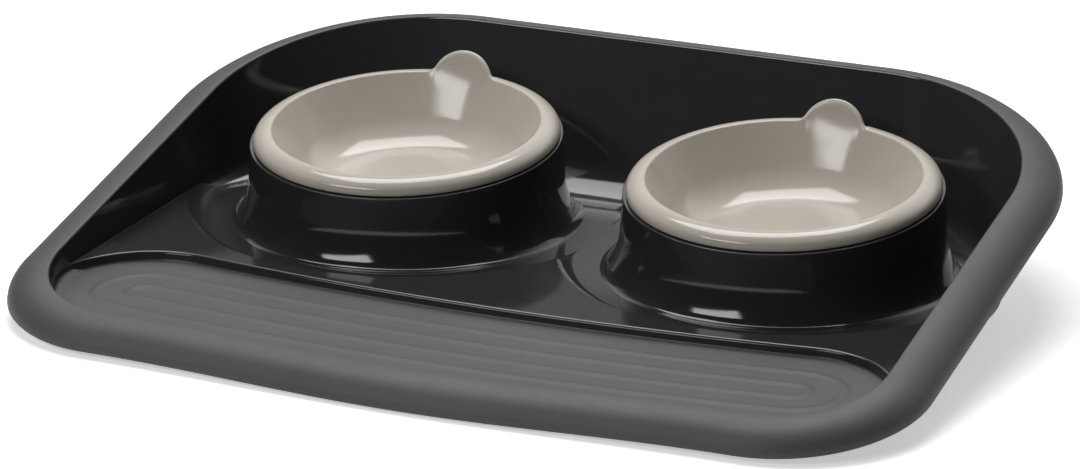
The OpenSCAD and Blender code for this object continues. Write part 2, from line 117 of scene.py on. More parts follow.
class Loft:
    """A skin that grows ring by ring: each new ring is extruded from the last one and set in place."""

    def __init__(self, ring: Sequence[Vector], mark: str = "") -> None:
        """Starts the skin.

        Args:
            ring: places of the first ring's corners, in millimetres.
            mark: name of a number that each corner carries, if any.
        """
        self.mesh = bmesh.new()
        self.layer = self.mesh.verts.layers.float.new(mark) if mark else None
        made = bmesh.ops.create_circle(self.mesh, segments=len(ring), radius=1.0)
        self.rings: list[list[bmesh.types.BMVert]] = [list(made["verts"])]
        for corner, place in zip(self.rings[0], ring):
            corner.co = place

    def edges(self, ring: Sequence[bmesh.types.BMVert]) -> list[bmesh.types.BMEdge]:
        """Finds the edges of one ring.

        Args:
            ring: the ring's corners in order.

        Returns:
            The closed loop of edges.
        """
        ahead = list(ring[1:]) + [ring[0]]
        return [self.mesh.edges.get((a, b)) for a, b in zip(ring, ahead)]

    def add(self, ring: Sequence[Vector]) -> None:
        """Extrudes the last ring to new places.

        Args:
            ring: places of the new ring's corners, in the same order.
        """
        last = self.rings[-1]
        made = bmesh.ops.extrude_edge_only(self.mesh, edges=self.edges(last))
        fresh = {item for item in made["geom"] if isinstance(item, bmesh.types.BMVert)}
        grown = []
        for old, place in zip(last, ring):
            corner = next(e.other_vert(old) for e in old.link_edges if e.other_vert(old) in fresh)
            corner.co = place
            grown.append(corner)
        self.rings.append(grown)

    def cap_ends(self) -> None:
        """Closes the first and the last ring with a flat face each."""
        for ring in (self.rings[0], self.rings[-1]):
            bmesh.ops.contextual_create(self.mesh, geom=self.edges(ring))

    def join_ends(self) -> None:
        """Bridges the last ring to the first one, so the section closes on itself."""
        loops = self.edges(self.rings[-1]) + self.edges(self.rings[0])
        bmesh.ops.bridge_loops(self.mesh, edges=loops)

    def finish(self) -> bmesh.types.BMesh:
        """Turns all faces outward and hands the mesh over."""
        bmesh.ops.recalc_face_normals(self.mesh, faces=self.mesh.faces)
        return self.mesh


def lofted(rings: Iterable[Sequence[Vector]], closed: bool = False) -> bmesh.types.BMesh:
    """Makes a closed skin through rings of points.

    Args:
        rings: the rings in order, all with the same number of corners.
        closed: True if the last ring joins the first, False if both ends get a flat face.

    Returns:
        The mesh, in millimetres.
    """
    rings = list(rings)
    skin = Loft(rings[0])
    for ring in rings[1:]:
        skin.add(ring)
    if closed:
        skin.join_ends()
    else:
        skin.cap_ends()
    return skin.finish()


def turned(section: Sequence[Pair], steps: int, merge: float = 0.001) -> bmesh.types.BMesh:
    """Spins a closed section round the upright axis.

    Args:
        section: radius and height of the section's corners, in millimetres.
        steps: number of steps of the full turn.
        merge: distance under which corners become one.

    Returns:
        The mesh, in millimetres.
    """
    mesh = bmesh.new()
    corners = [mesh.verts.new((r, 0.0, z)) for r, z in section]
    edges = [mesh.edges.new((a, b)) for a, b in zip(corners, corners[1:] + corners[:1])]
    bmesh.ops.spin(
        mesh, geom=corners + edges, cent=(0, 0, 0), axis=(0, 0, 1), angle=2 * math.pi,
        steps=steps, use_merge=True,
    )
    bmesh.ops.remove_doubles(mesh, verts=mesh.verts, dist=merge)
    bmesh.ops.recalc_face_normals(mesh, faces=mesh.faces)
    return mesh


def joined(parts: Iterable[bmesh.types.BMesh]) -> bmesh.types.BMesh:
    """Puts several meshes into one.

    Args:
        parts: the meshes, which are freed.

    Returns:
        The one mesh.
    """
    whole = bmesh.new()
    for part in parts:
        data = bpy.data.meshes.new("part")
        part.to_mesh(data)
        part.free()
        whole.from_mesh(data)
        bpy.data.meshes.remove(data)
    return whole


def make_piece(mesh: bmesh.types.BMesh, name: str, sharp: float = 32.0) -> bpy.types.Object:
    """Makes an object from a mesh in millimetres.

    Args:
        mesh: the mesh, which is freed.
        name: the piece's name.
        sharp: angle in degrees over which an edge stays sharp.

    Returns:
        The object, in metres, with its place in its mesh.
    """
    bmesh.ops.scale(mesh, vec=(MM, MM, MM), verts=mesh.verts)
    data = bpy.data.meshes.new(name)
    mesh.to_mesh(data)
    mesh.free()
    data.shade_smooth()
    data.set_sharp_from_angle(angle=math.radians(sharp))
    piece = bpy.data.objects.new(name, data)
    bpy.context.scene.collection.objects.link(piece)
    return piece


def bake_modifiers(piece: bpy.types.Object) -> None:
    """Turns a piece's modifiers into its mesh.

    Args:
        piece: the piece, whose old mesh is removed.
    """
    graph = bpy.context.evaluated_depsgraph_get()
    made = bpy.data.meshes.new_from_object(piece.evaluated_get(graph))
    old = piece.data
    piece.modifiers.clear()
    piece.data = made
    made.name = old.name + "_cut"
    bpy.data.meshes.remove(old)


def carve(piece: bpy.types.Object, tool: bpy.types.Object, how: Cut, keep_tool: bool = False) -> None:
    """Cuts a piece with a second solid.

    Args:
        piece: the piece that changes.
        tool: the solid that cuts it.
        how: whether the solid is taken away or is what the piece is kept inside of.
        keep_tool: True if the solid is used again.
    """
    change = piece.modifiers.new("carve", "BOOLEAN")
    change.object = tool
    change.operation = how.value
    change.solver = "EXACT"
    bake_modifiers(piece)
    if not keep_tool:
        bpy.data.objects.remove(tool)


def settle_shading(piece: bpy.types.Object, sharp: float = 28.0, weight: int = 80) -> None:
    """Lets the large flat faces rule the shading beside small roundings.

    Args:
        piece: the piece to shade.
        sharp: angle in degrees over which an edge stays sharp.
        weight: how strongly large faces rule, where 50 treats all faces alike.
    """
    piece.data.shade_smooth()
    piece.data.set_sharp_from_angle(angle=math.radians(sharp))
    weigh = piece.modifiers.new("weigh", "WEIGHTED_NORMAL")
    weigh.keep_sharp = True
    weigh.weight = weight
    bake_modifiers(piece)


class Nodes:
    """Builds the node tree of one material or node group with short calls."""

    def __init__(self, tree: bpy.types.NodeTree) -> None:
        """Takes the tree and clears it."""
        self.tree = tree
        tree.nodes.clear()

    def add(self, kind: str, **values: object) -> bpy.types.Node:
        """Adds a node.

        Args:
            kind: the node's type name without its leading word.
            values: node settings by name, and input values by input name with spaces as underscores.

        Returns:
            The node.
        """
        node = self.tree.nodes.new("ShaderNode" + kind)
        for key, value in values.items():
            if hasattr(node, key):
                setattr(node, key, value)
            else:
                node.inputs[key.replace("_", " ")].default_value = value
        return node

    def link(self, out: bpy.types.NodeSocket, into: bpy.types.NodeSocket) -> None:
        """Joins two sockets."""
        self.tree.links.new(out, into)

    def maths(self, operation: str, first: object, second: object = 0.0) -> bpy.types.NodeSocket:
        """Adds a sum.

        Args:
            operation: the sum's kind.
            first: a socket or a number.
            second: a socket or a number.

        Returns:
            The result's socket.
        """
        node = self.tree.nodes.new("ShaderNodeMath")
        node.operation = operation
        for slot, value in zip(node.inputs, (first, second)):
            if isinstance(value, bpy.types.NodeSocket):
                self.link(value, slot)
            else:
                slot.default_value = value
        return node.outputs[0]

    def remap(
        self, value: bpy.types.NodeSocket, low: float, high: float, to_low: float, to_high: float
    ) -> bpy.types.NodeSocket:
        """Maps a range of values to another one, with clamping.

        Args:
            value: the socket to map.
            low: start of the range.
            high: end of the range.
            to_low: what the start becomes.
            to_high: what the end becomes.

        Returns:
            The mapped socket.
        """
        node = self.tree.nodes.new("ShaderNodeMapRange")
        self.link(value, node.inputs["Value"])
        for key, number in (("From Min", low), ("From Max", high), ("To Min", to_low), ("To Max", to_high)):
            node.inputs[key].default_value = number
        return node.outputs["Result"]


@dataclass(frozen=True)
class MouldedSurface:
    """The shared shader group of moulded plastic: fine grain, faint waves of the mould and light wear."""

    name: str = "moulded_surface"
    cloud_range: Pair = (0.3, 0.7)
    tone_range: Pair = (0.94, 1.06)
    scuff_range: Pair = (0.45, 0.75)

    def group(self) -> bpy.types.ShaderNodeTree:
        """Builds the group, or finds it.

        Returns:
            A group that puts out a tone around 1, a roughness change around 0 and a height.
        """
        found = bpy.data.node_groups.get(self.name)
        if found:
            return found
        tree = bpy.data.node_groups.new(self.name, "ShaderNodeTree")
        starts = {"Grain Size": 2600.0, "Grain Height": 0.5, "Wave Size": 26.0, "Wave Height": 0.5}
        for label, value in starts.items():
            socket = tree.interface.new_socket(label, in_out="INPUT", socket_type="NodeSocketFloat")
            socket.default_value = value
        for label in ("Tone", "Wear", "Height"):
            tree.interface.new_socket(label, in_out="OUTPUT", socket_type="NodeSocketFloat")
        nodes = Nodes(tree)
        ins = tree.nodes.new("NodeGroupInput")
        outs = tree.nodes.new("NodeGroupOutput")
        place = nodes.add("TexCoord")
        grain = nodes.add("TexNoise", Detail=3.0, Roughness=0.6)
        wave = nodes.add("TexNoise", Detail=1.0, Roughness=0.4)
        cloud = nodes.add("TexNoise", Scale=14.0, Detail=4.0, Roughness=0.55)
        scuff = nodes.add("TexNoise", Scale=90.0, Detail=6.0, Roughness=0.7, Distortion=0.6)
        for noise in (grain, wave, cloud, scuff):
            nodes.link(place.outputs["Object"], noise.inputs["Vector"])
        nodes.link(ins.outputs["Grain Size"], grain.inputs["Scale"])
        nodes.link(ins.outputs["Wave Size"], wave.inputs["Scale"])
        fine = nodes.maths("MULTIPLY", grain.outputs["Fac"], ins.outputs["Grain Height"])
        broad = nodes.maths("MULTIPLY", wave.outputs["Fac"], ins.outputs["Wave Height"])
        nodes.link(nodes.maths("ADD", fine, broad), outs.inputs["Height"])
        tone = nodes.remap(cloud.outputs["Fac"], *self.cloud_range, *self.tone_range)
        nodes.link(tone, outs.inputs["Tone"])
        wear = nodes.remap(scuff.outputs["Fac"], *self.scuff_range, 0.0, 1.0)
        nodes.link(wear, outs.inputs["Wear"])
        return tree


@dataclass(frozen=True)
class ChannelZone:
    """Where the channel's textured floor lies: outside an arc about a pivot and below a level.

    Lengths are in millimetres.
    """

    pivot_y: float
    from_r: float
    full_z: float
    end_z: float

    def mask(self, nodes: Nodes) -> bpy.types.NodeSocket:
        """Builds the mask of the zone from Object coordinates.

        Args:
            nodes: the tree to build it in.

        Returns:
            A socket that is 1 on the channel's floor and 0 elsewhere.
        """
        place = nodes.add("TexCoord")
        split = nodes.add("SeparateXYZ")
        nodes.link(place.outputs["Object"], split.inputs[0])
        flat = nodes.add("CombineXYZ")
        nodes.link(split.outputs["X"], flat.inputs["X"])
        nodes.link(split.outputs["Y"], flat.inputs["Y"])
        reach = nodes.add("VectorMath", operation="DISTANCE")
        nodes.link(flat.outputs[0], reach.inputs[0])
        reach.inputs[1].default_value = (0.0, self.pivot_y * MM, 0.0)
        ahead = nodes.maths("GREATER_THAN", reach.outputs["Value"], self.from_r * MM)
        low = nodes.remap(split.outputs["Z"], self.full_z * MM, self.end_z * MM, 1.0, 0.0)
        return nodes.maths("MULTIPLY", ahead, low)


class MouldedShader:
    """A material with the shared moulded surface in place, ready for a finish to be joined to it."""

    def __init__(self, name: str, ior: float, grain: dict[str, float]) -> None:
        """Starts the material.

        Args:
            name: the material's name.
            ior: its index of refraction.
            grain: values of the surface group's inputs, by their names with spaces as underscores.
        """
        self.material = bpy.data.materials.new(name)
        self.material.use_nodes = True
        self.nodes = Nodes(self.material.node_tree)
        out = self.nodes.add("OutputMaterial")
        self.shader = self.nodes.add("BsdfPrincipled", IOR=ior)
        self.nodes.link(self.shader.outputs[0], out.inputs["Surface"])
        self.surface = self.nodes.add("Group", node_tree=MouldedSurface().group(), **grain)

    def join(
        self, tone: bpy.types.Node, rough: bpy.types.NodeSocket | float, wear: float,
        height: bpy.types.NodeSocket, relief: float, relief_depth: float = 0.0002,
    ) -> bpy.types.Material:
        """Joins a finish to the shader.

        Args:
            tone: the node that carries the colour, whose value follows the surface.
            rough: the roughness of the unworn surface.
            wear: how much rougher the worn spots are.
            height: the socket of the relief's height.
            relief: the strength of the relief.
            relief_depth: the depth of the relief, in metres.

        Returns:
            The finished material.
        """
        nodes, surface = self.nodes, self.surface
        nodes.link(surface.outputs["Tone"], tone.inputs["Value"])
        nodes.link(tone.outputs["Color"], self.shader.inputs["Base Color"])
        worn = nodes.maths("MULTIPLY", surface.outputs["Wear"], wear)
        nodes.link(nodes.maths("ADD", worn, rough), self.shader.inputs["Roughness"])
        bump = nodes.add("Bump", Strength=relief, Distance=relief_depth)
        nodes.link(height, bump.inputs["Height"])
        nodes.link(bump.outputs["Normal"], self.shader.inputs["Normal"])
        return self.material


@dataclass(frozen=True)
class TrayPlastic:
    """Near-black plastic: polished inside the tray, fine-textured in the channel, on the lip and outside."""

    name: str = "tray_plastic"
    polished: Colour = (0.030, 0.030, 0.0305)
    textured: Colour = (0.084, 0.084, 0.085)
    polished_rough: float = 0.07
    textured_rough: float = 0.55
    wear: float = 0.05
    relief: float = 0.25
    polished_relief_share: float = 0.25
    ior: float = 1.5

    def material(self, channel: ChannelZone) -> bpy.types.Material:
        """Builds the material, or finds it.

        Args:
            channel: where the spill channel lies.

        Returns:
            The material, which reads the piece's own attribute "textured".
        """
        found = bpy.data.materials.get(self.name)
        if found:
            return found
        made = MouldedShader(self.name, self.ior, {})
        nodes = made.nodes
        zone = nodes.add("Attribute", attribute_name="textured")
        mask = nodes.maths("MAXIMUM", zone.outputs["Fac"], channel.mask(nodes))
        colour = nodes.add("Mix", data_type="RGBA")
        colour.inputs["A"].default_value = (*self.polished, 1.0)
        colour.inputs["B"].default_value = (*self.textured, 1.0)
        nodes.link(mask, colour.inputs["Factor"])
        tone = nodes.add("HueSaturation")
        nodes.link(colour.outputs["Result"], tone.inputs["Color"])
        rough = nodes.remap(mask, 0.0, 1.0, self.polished_rough, self.textured_rough)
        depth = nodes.remap(mask, 0.0, 1.0, self.polished_relief_share, 1.0)
        height = nodes.maths("MULTIPLY", made.surface.outputs["Height"], depth)
        return made.join(tone, rough, self.wear, height, self.relief)


@dataclass(frozen=True)
class EvenFinish:
    """A moulded finish that is the same all over a piece."""

    name: str
    colour: Colour
    rough: float
    wear: float
    relief: float
    ior: float
    grain: tuple[tuple[str, float], ...]

    def material(self) -> bpy.types.Material:
        """Builds the material, or finds it.

        Returns:
            The material.
        """
        found = bpy.data.materials.get(self.name)
        if found:
            return found
        made = MouldedShader(self.name, self.ior, dict(self.grain))
        tone = made.nodes.add("HueSaturation", Color=(*self.colour, 1.0))
        return made.join(tone, self.rough, self.wear, made.surface.outputs["Height"], self.relief)


@dataclass(frozen=True)
class BowlPlastic(EvenFinish):
    """Glossy warm grey plastic of the two bowls."""

    name: str = "bowl_plastic"
    colour: Colour = (0.58, 0.53, 0.465)
    rough: float = 0.11
    wear: float = 0.06
    relief: float = 0.2
    ior: float = 1.5
    grain: tuple[tuple[str, float], ...] = (("Grain_Height", 0.15), ("Wave_Height", 0.35))


@dataclass(frozen=True)
class FootRubber(EvenFinish):
    """Soft black rubber of the feet."""

    name: str = "foot_rubber"
    colour: Colour = (0.018, 0.018, 0.018)
    rough: float = 0.72
    wear: float = 0.12
    relief: float = 0.5
    ior: float = 1.45
    grain: tuple[tuple[str, float], ...] = (("Grain_Size", 1400.0),)


@dataclass(frozen=True)
class Outline:
    """A plan outline of the tray: a straight back, round corners and a front edge that bulges forward."""

    half: float
    front_y: float
    back_y: float
    front_r: float
    back_r: float
    bow: float
    front_steps: int = 56
    front_corner_steps: int = 20
    side_steps: int = 16
    back_corner_steps: int = 32
    back_steps: int = 16

    def points(self) -> list[LinePoint]:
        """Walks round the outline, counter-clockwise from the front left.

        Returns:
            x, y and the outward normal of every point.
        """
        reach = self.half - self.front_r
        made: list[LinePoint] = []
        for i in range(self.front_steps):
            x = reach * (2 * i / self.front_steps - 1)
            bulge = self.bow * (1 + math.cos(math.pi * x / reach)) / 2
            made.append((x, self.front_y - bulge, 0.0, -1.0))
        low, high = self.front_y + self.front_r, self.back_y - self.back_r
        made += self.corner(reach, low, self.front_r, -90, 0, self.front_corner_steps)
        for i in range(self.side_steps):
            made.append((self.half, blend(low, high, i / self.side_steps), 1.0, 0.0))
        across = self.half - self.back_r
        made += self.corner(across, high, self.back_r, 0, 90, self.back_corner_steps)
        for i in range(self.back_steps):
            made.append((blend(across, -across, i / self.back_steps), self.back_y, 0.0, 1.0))
        made += self.corner(-across, high, self.back_r, 90, 180, self.back_corner_steps)
        for i in range(self.side_steps):
            made.append((-self.half, blend(high, low, i / self.side_steps), -1.0, 0.0))
        made += self.corner(-reach, low, self.front_r, 180, 270, self.front_corner_steps)
        return made

    @staticmethod
    def corner(x: float, y: float, r: float, start: float, end: float, steps: int) -> list[LinePoint]:
        """Makes one round corner without its last point.

        Args:
            x: centre.
            y: centre.
            r: radius.
            start: first angle in degrees.
            end: last angle in degrees.
            steps: number of stretches.

        Returns:
            x, y and the outward normal of every point.
        """
        made = []
        for angle in arc_angles(math.radians(start), math.radians(end), steps)[:-1]:
            nx, ny = math.cos(angle), math.sin(angle)
            made.append((x + r * nx, y + r * ny, nx, ny))
        return made


@dataclass
class Tray:
    """The one-piece tray: basin with a rolled lip, platform, spill channel, pedestals and foot cups.

    Lengths are in millimetres and angles in degrees, unless a line says otherwise.
    """

    width: float = 395.0
    depth: float = 305.0
    wall: float = 2.8
    lip_w: float = 17.5
    lip_drop: float = 11.5
    lip_edge_r: float = 1.2
    crest_front_z: float = 13.9
    crest_back_z: float = 69.6
    front_bow: float = 6.0
    front_corner_r: float = 41.0
    rear_corner_r: float = 86.0
    platform_z: float = 13.5
    channel_depth: float = 4.3
    rear_run: float = 37.0
    side_run: float = 0.6
    front_run: float = 0.5
    rear_base_r: float = 72.0
    side_cove_r: float = 5.0
    rear_cove_r: float = 30.0
    front_cove_r: float = 2.5
    recess_depth: float = 4.0
    recess_r: float = 94.5
    recess_cove_w: float = 8.0
    channel_half: float = 39.0
    channel_bow: float = 9.0
    channel_margin: float = 1.0
    step_r: float = 1.5
    rib_pitch: float = 13.8
    rib_count: int = 2
    rib_w: float = 7.5
    rib_h: float = 0.6
    spacing: float = 171.0
    bowl_y: float = 45.5
    tilt: float = 5.4
    pedestal_base_r: float = 67.9
    pedestal_top_r: float = 66.2
    pedestal_bell_r: float = 32.0
    pedestal_bell_end: float = 60.0
    pedestal_cove_r: float = 5.0
    pedestal_wall: float = 2.8
    pedestal_edge_r: float = 0.3
    ring_wall: float = 3.2
    ring_out_r: float = 62.4
    ring_gap: float = 0.3
    bowl_crest_z: float = 50.6
    rim_drop: float = 6.1
    groove_top: float = 2.8
    foot_r: float = 8.0
    foot_gap: float = 0.1
    foot_h: float = 3.0
    foot_show: float = 1.5
    cup_wall: float = 2.0
    rear_foot_gap: float = 7.1
    rear_foot_turn: float = 15.0

    # How deep pieces are sunk in one another, and a step that is too thin to see
    sunk: float = 0.5
    pedestal_sunk: float = 0.7
    hair: float = 0.04

    # How far the cutting solids reach past what they cut
    over: float = 5.0
    deep: float = 8.0
    hollow_room: float = 0.3
    hollow_top: float = 1.0

    # Small edges that are broken in one step
    bevel: float = 0.3
    wide_bevel: float = 0.4

    # Angles in degrees over which an edge stays sharp
    sharp_moulding: float = 40.0
    sharp_rib: float = 60.0
    sharp_cup: float = 50.0

    # Steps of the curves, and shares along straight stretches
    cove_steps: int = 12
    inside_shares: tuple[float, ...] = (0.0, 0.06, 0.12, 0.18, 0.25, 0.32, 0.4, 0.6, 1.0)
    wall_shares: Pair = (0.35, 0.7)
    lip_edge_steps: int = 4
    lip_steps: int = 18
    lip_root_steps: int = 10
    lip_root_share: float = 0.35
    lip_root_drop_share: float = 1.3
    outer_cove_share: float = 0.6
    outer_cove_steps: int = 10
    step_turn_steps: int = 8
    step_fade: float = 40.0
    channel_end_steps: int = 40
    channel_line_steps: int = 48
    recess_cove_steps: int = 10
    recess_steps: int = 180
    pedestal_steps: int = 160
    bell_steps: int = 12
    inner_bell_steps: int = 8
    side_shares: tuple[float, float, float] = (0.33, 0.67, 1.0)
    pedestal_edge_steps: int = 5
    rib_line_steps: int = 56
    rib_end_steps: int = 28
    rib_steps: int = 12
    rib_foot_share: float = 0.9
    cup_steps: int = 72
    zone_height_share: float = 1 / 5
    zone_fade_share: float = 1 / 12
    finish: TrayPlastic = field(default_factory=TrayPlastic)

    def __post_init__(self) -> None:
        """Works out the sizes that follow from the others."""
        self.floor_z = self.platform_z - self.channel_depth
        self.recess_z = self.platform_z - self.recess_depth
        self.under_z = self.floor_z - self.wall
        self.crest_half = self.width / 2 - self.lip_w
        self.crest_front_y = self.front_bow + self.lip_w - self.depth / 2
        self.crest_back_y = self.depth / 2 - self.lip_w
        self.rise = (self.crest_back_z - self.crest_front_z) / (self.crest_back_y - self.crest_front_y)
        self.base_half = self.crest_half - self.side_run
        self.base_front_y = self.crest_front_y + self.front_run
        self.base_back_y = self.crest_back_y - self.rear_run
        self.crest = Outline(
            self.crest_half, self.crest_front_y, self.crest_back_y, self.front_corner_r,
            self.rear_corner_r, self.front_bow,
        ).points()
        self.base = Outline(
            self.base_half, self.base_front_y, self.base_back_y, self.front_corner_r - self.front_run,
            self.rear_base_r, self.front_bow,
        ).points()
        self.count = len(self.crest)
        self.channel_y = self.crest_front_y + self.channel_half + self.channel_margin
        self.channel_reach = self.base_half + self.sunk / 2 - self.channel_half
        self.line_r = (self.channel_reach ** 2 + self.channel_bow ** 2) / (2 * self.channel_bow)
        self.pivot_y = self.channel_y + math.sqrt(self.line_r ** 2 - self.channel_reach ** 2)
        self.swing = math.asin(self.channel_reach / self.line_r)
        lean = math.radians(self.tilt)
        self.axis_up = Vector((0.0, -math.sin(lean), math.cos(lean)))
        self.axis_back = Vector((0.0, math.cos(lean), math.sin(lean)))
        self.axis_crest = (self.bowl_crest_z - self.recess_z) / math.cos(lean)
        self.shoulder = self.axis_crest - self.rim_drop - self.ring_gap
        self.flare = (self.pedestal_base_r - self.pedestal_top_r) / self.shoulder
        self.pedestal_y = self.bowl_y - self.shoulder * math.sin(lean)
        self.side_turn = math.pi / 2 - math.atan(self.flare)
        self.bell_end = math.radians(self.pedestal_bell_end)
        end_z = self.recess_z + self.pedestal_cove_r * (1 - math.cos(self.bell_end))
        top_z = end_z + self.pedestal_bell_r * (math.cos(self.bell_end) - math.cos(self.side_turn))
        self.bell_r = self.cone_r(top_z, 0.0) + self.pedestal_bell_r * math.sin(self.side_turn)
        self.bell_z = top_z + self.pedestal_bell_r * math.cos(self.side_turn)
        past_cove = self.pedestal_bell_r - self.pedestal_cove_r
        self.foot_end_r = self.bell_r - past_cove * math.sin(self.bell_end)

    def crest_z(self, k: int) -> float:
        """Height of the lip's crest at outline point k."""
        return self.crest_front_z + self.rise * (self.crest[k][1] - self.crest_front_y)

    def lean(self, k: int) -> float:
        """Works out how far the wall leans out.

        Args:
            k: outline point.

        Returns:
            The angle from upright, in radians.
        """
        x, y, nx, ny = self.base[k]
        run = (self.crest[k][0] - x) * nx + (self.crest[k][1] - y) * ny
        return math.atan(run / (self.crest_z(k) - self.floor_z))

    def cove(self, k: int) -> float:
        """Works out the cove between floor and wall.

        Args:
            k: outline point.

        Returns:
            Its radius.
        """
        ny = self.base[k][3]
        far = self.front_cove_r if ny < 0 else self.rear_cove_r
        return blend(self.side_cove_r, far, ny * ny)

    def wall_point(self, k: int, z: float, out: float) -> Vector:
        """A point of the wall.

        Args:
            k: outline point.
            z: height.
            out: how far it stands out from the straight wall line.

        Returns:
            The point.
        """
        share = (z - self.floor_z) / (self.crest_z(k) - self.floor_z)
        x, y, nx, ny = self.base[k]
        return Vector((
            blend(x, self.crest[k][0], share) + nx * out,
            blend(y, self.crest[k][1], share) + ny * out,
            z,
        ))

    def lip_point(self, k: int, out: float, down: float) -> Vector:
        """A point of the lip, by how far it is out from the crest's inner edge and down from it."""
        _, _, nx, ny = self.base[k]
        return Vector((self.crest[k][0] + nx * out, self.crest[k][1] + ny * out, self.crest_z(k) - down))

    def cove_in(self, k: int, r: float, turn: float) -> float:
        """Works out where a cove stands, measured from the wall line.

        Args:
            k: outline point.
            r: the cove's radius.
            turn: how much of its turn is done, in radians.

        Returns:
            How far outward it stands, which is negative while it is inside the line.
        """
        lean = self.lean(k)
        return (
            r * math.sin(turn) - r * math.tan((math.pi / 2 - lean) / 2)
            - math.tan(lean) * r * (1 - math.cos(turn))
        )

    def cove_in_at(self, k: int, height: float) -> float:
        """Works out where the cove stands at a height, measured from the wall line.

        Args:
            k: outline point.
            height: height above the floor.

        Returns:
            The distance, as in cove_in.
        """
        r = self.cove(k)
        turn = min(math.pi / 2 - self.lean(k), math.acos(max(-1.0, 1 - height / r)))
        return self.cove_in(k, r, turn)

    def ring(self, place: Callable[[int], Vector]) -> Ring:
        """One ring of points round the whole outline."""
        return [place(k) for k in range(self.count)]

    def cove_ring(self, share: float, r_share: float, low: float, out: bool) -> Ring:
        """One ring of the cove inside or outside the basin.

        Args:
            share: how much of the cove's turn is done.
            r_share: the cove's radius as a share of the inner one.
            low: height at which the cove starts.
            out: True for the outer skin.

        Returns:
            The ring.
        """
        def place(k: int) -> Vector:
            """Works out one point.

            Args:
                k: outline point.

            Returns:
                The point.
            """
            turn = (math.pi / 2 - self.lean(k)) * share
            r = self.cove(k) * r_share
            skin = self.wall / math.cos(self.lean(k)) if out else 0.0
            return self.wall_point(k, low + r * (1 - math.cos(turn)), skin + self.cove_in(k, r, turn))

        return self.ring(place)

    def basin_rings(self) -> tuple[list[Ring], list[float]]:
        """Lays out the basin from its floor over the lip to its underside.

        Returns:
            The rings, and for each how much of the textured finish it has.
        """
        rings: list[Ring] = []
        zones: list[float] = []

        def keep(ring: Ring, zone: float) -> None:
            """Adds a ring."""
            rings.append(ring)
            zones.append(zone)

        for share in arc_angles(0, 1, self.cove_steps):
            keep(self.cove_ring(share, 1.0, self.floor_z, False), 0.0)
        cove_top = rings[-1]
        for share in self.wall_shares:
            keep(self.ring(lambda k: self.between(cove_top[k], k, share)), 0.0)
        for turn in arc_angles(0, math.pi / 2, self.lip_edge_steps):
            out, down = self.lip_edge_r * (1 - math.cos(turn)), self.lip_edge_r * (1 - math.sin(turn))
            keep(self.ring(lambda k: self.lip_point(k, out, down)), ease(turn / (math.pi / 2)))
        lowest = self.lip_drop - self.bevel
        for turn in arc_angles(0, math.pi / 2, self.lip_steps)[1:]:
            out = self.lip_edge_r + (self.lip_w - self.lip_edge_r) * math.sin(turn)
            down = self.lip_drop * (1 - math.cos(turn))
            keep(self.ring(lambda k: self.lip_point(k, out, min(down, lowest))), 1.0)
        for out in (self.lip_w - self.bevel, self.lip_w - self.wall + self.bevel):
            keep(self.ring(lambda k: self.lip_point(k, out, self.lip_drop)), 1.0)
        for turn in arc_angles(math.pi / 2, math.pi / 2 * self.lip_root_share, self.lip_root_steps):
            out = self.lip_edge_r + (self.lip_w - self.wall - self.lip_edge_r) * math.sin(turn)
            down = self.wall + (self.lip_drop - self.wall) * (1 - math.cos(turn))
            keep(self.ring(lambda k: self.lip_point(k, out, min(down, lowest))), 1.0)
        drop = self.wall * self.lip_root_drop_share
        keep(self.ring(
            lambda k: self.wall_point(k, self.crest_z(k) - drop, self.wall / math.cos(self.lean(k)))
        ), 1.0)
        for share in arc_angles(1, 0, self.outer_cove_steps):
            keep(self.cove_ring(share, self.outer_cove_share, self.under_z, True), 1.0)
        return rings, zones

    def between(self, low: Vector, k: int, share: float) -> Vector:
        """A point part of the way from the cove's top to the lip's inner edge."""
        return low.lerp(self.lip_point(k, 0.0, self.lip_edge_r), share)

    def inside(self, from_z: float, out: float) -> bpy.types.Object:
        """Makes the space inside the basin as a solid, for cutting the pedestals.

        Args:
            from_z: height of its flat bottom.
            out: how far it is moved outward past the basin's inner surface.

        Returns:
            The solid.
        """
        rings = []
        for share in self.inside_shares:
            def place(k: int) -> Vector:
                """Works out one point.

                Args:
                    k: outline point.

                Returns:
                    The point.
                """
                top = max(self.crest_z(k), self.platform_z + self.over)
                z = blend(self.platform_z, top, share)
                return self.wall_point(k, z, self.cove_in_at(k, z - self.floor_z) + out)
            rings.append(self.ring(place))
        low = [Vector((p.x, p.y, from_z)) for p in rings[0]]
        high = [Vector((p.x, p.y, self.crest_back_z + self.over)) for p in rings[-1]]
        return make_piece(lofted([low, *rings, high]), "inside_of_basin")

    def build_basin(self) -> bpy.types.Object:
        """Builds the floor, the coved walls and the rolled lip.

        Returns:
            The piece, whose attribute "textured" says where the textured finish is.
        """
        rings, zones = self.basin_rings()
        skin = Loft(rings[0], "textured")
        for ring in rings[1:]:
            skin.add(ring)
        skin.cap_ends()
        for ring, zone in zip(skin.rings, zones):
            for corner in ring:
                corner[skin.layer] = zone
        return make_piece(skin.finish(), "tray_basin")

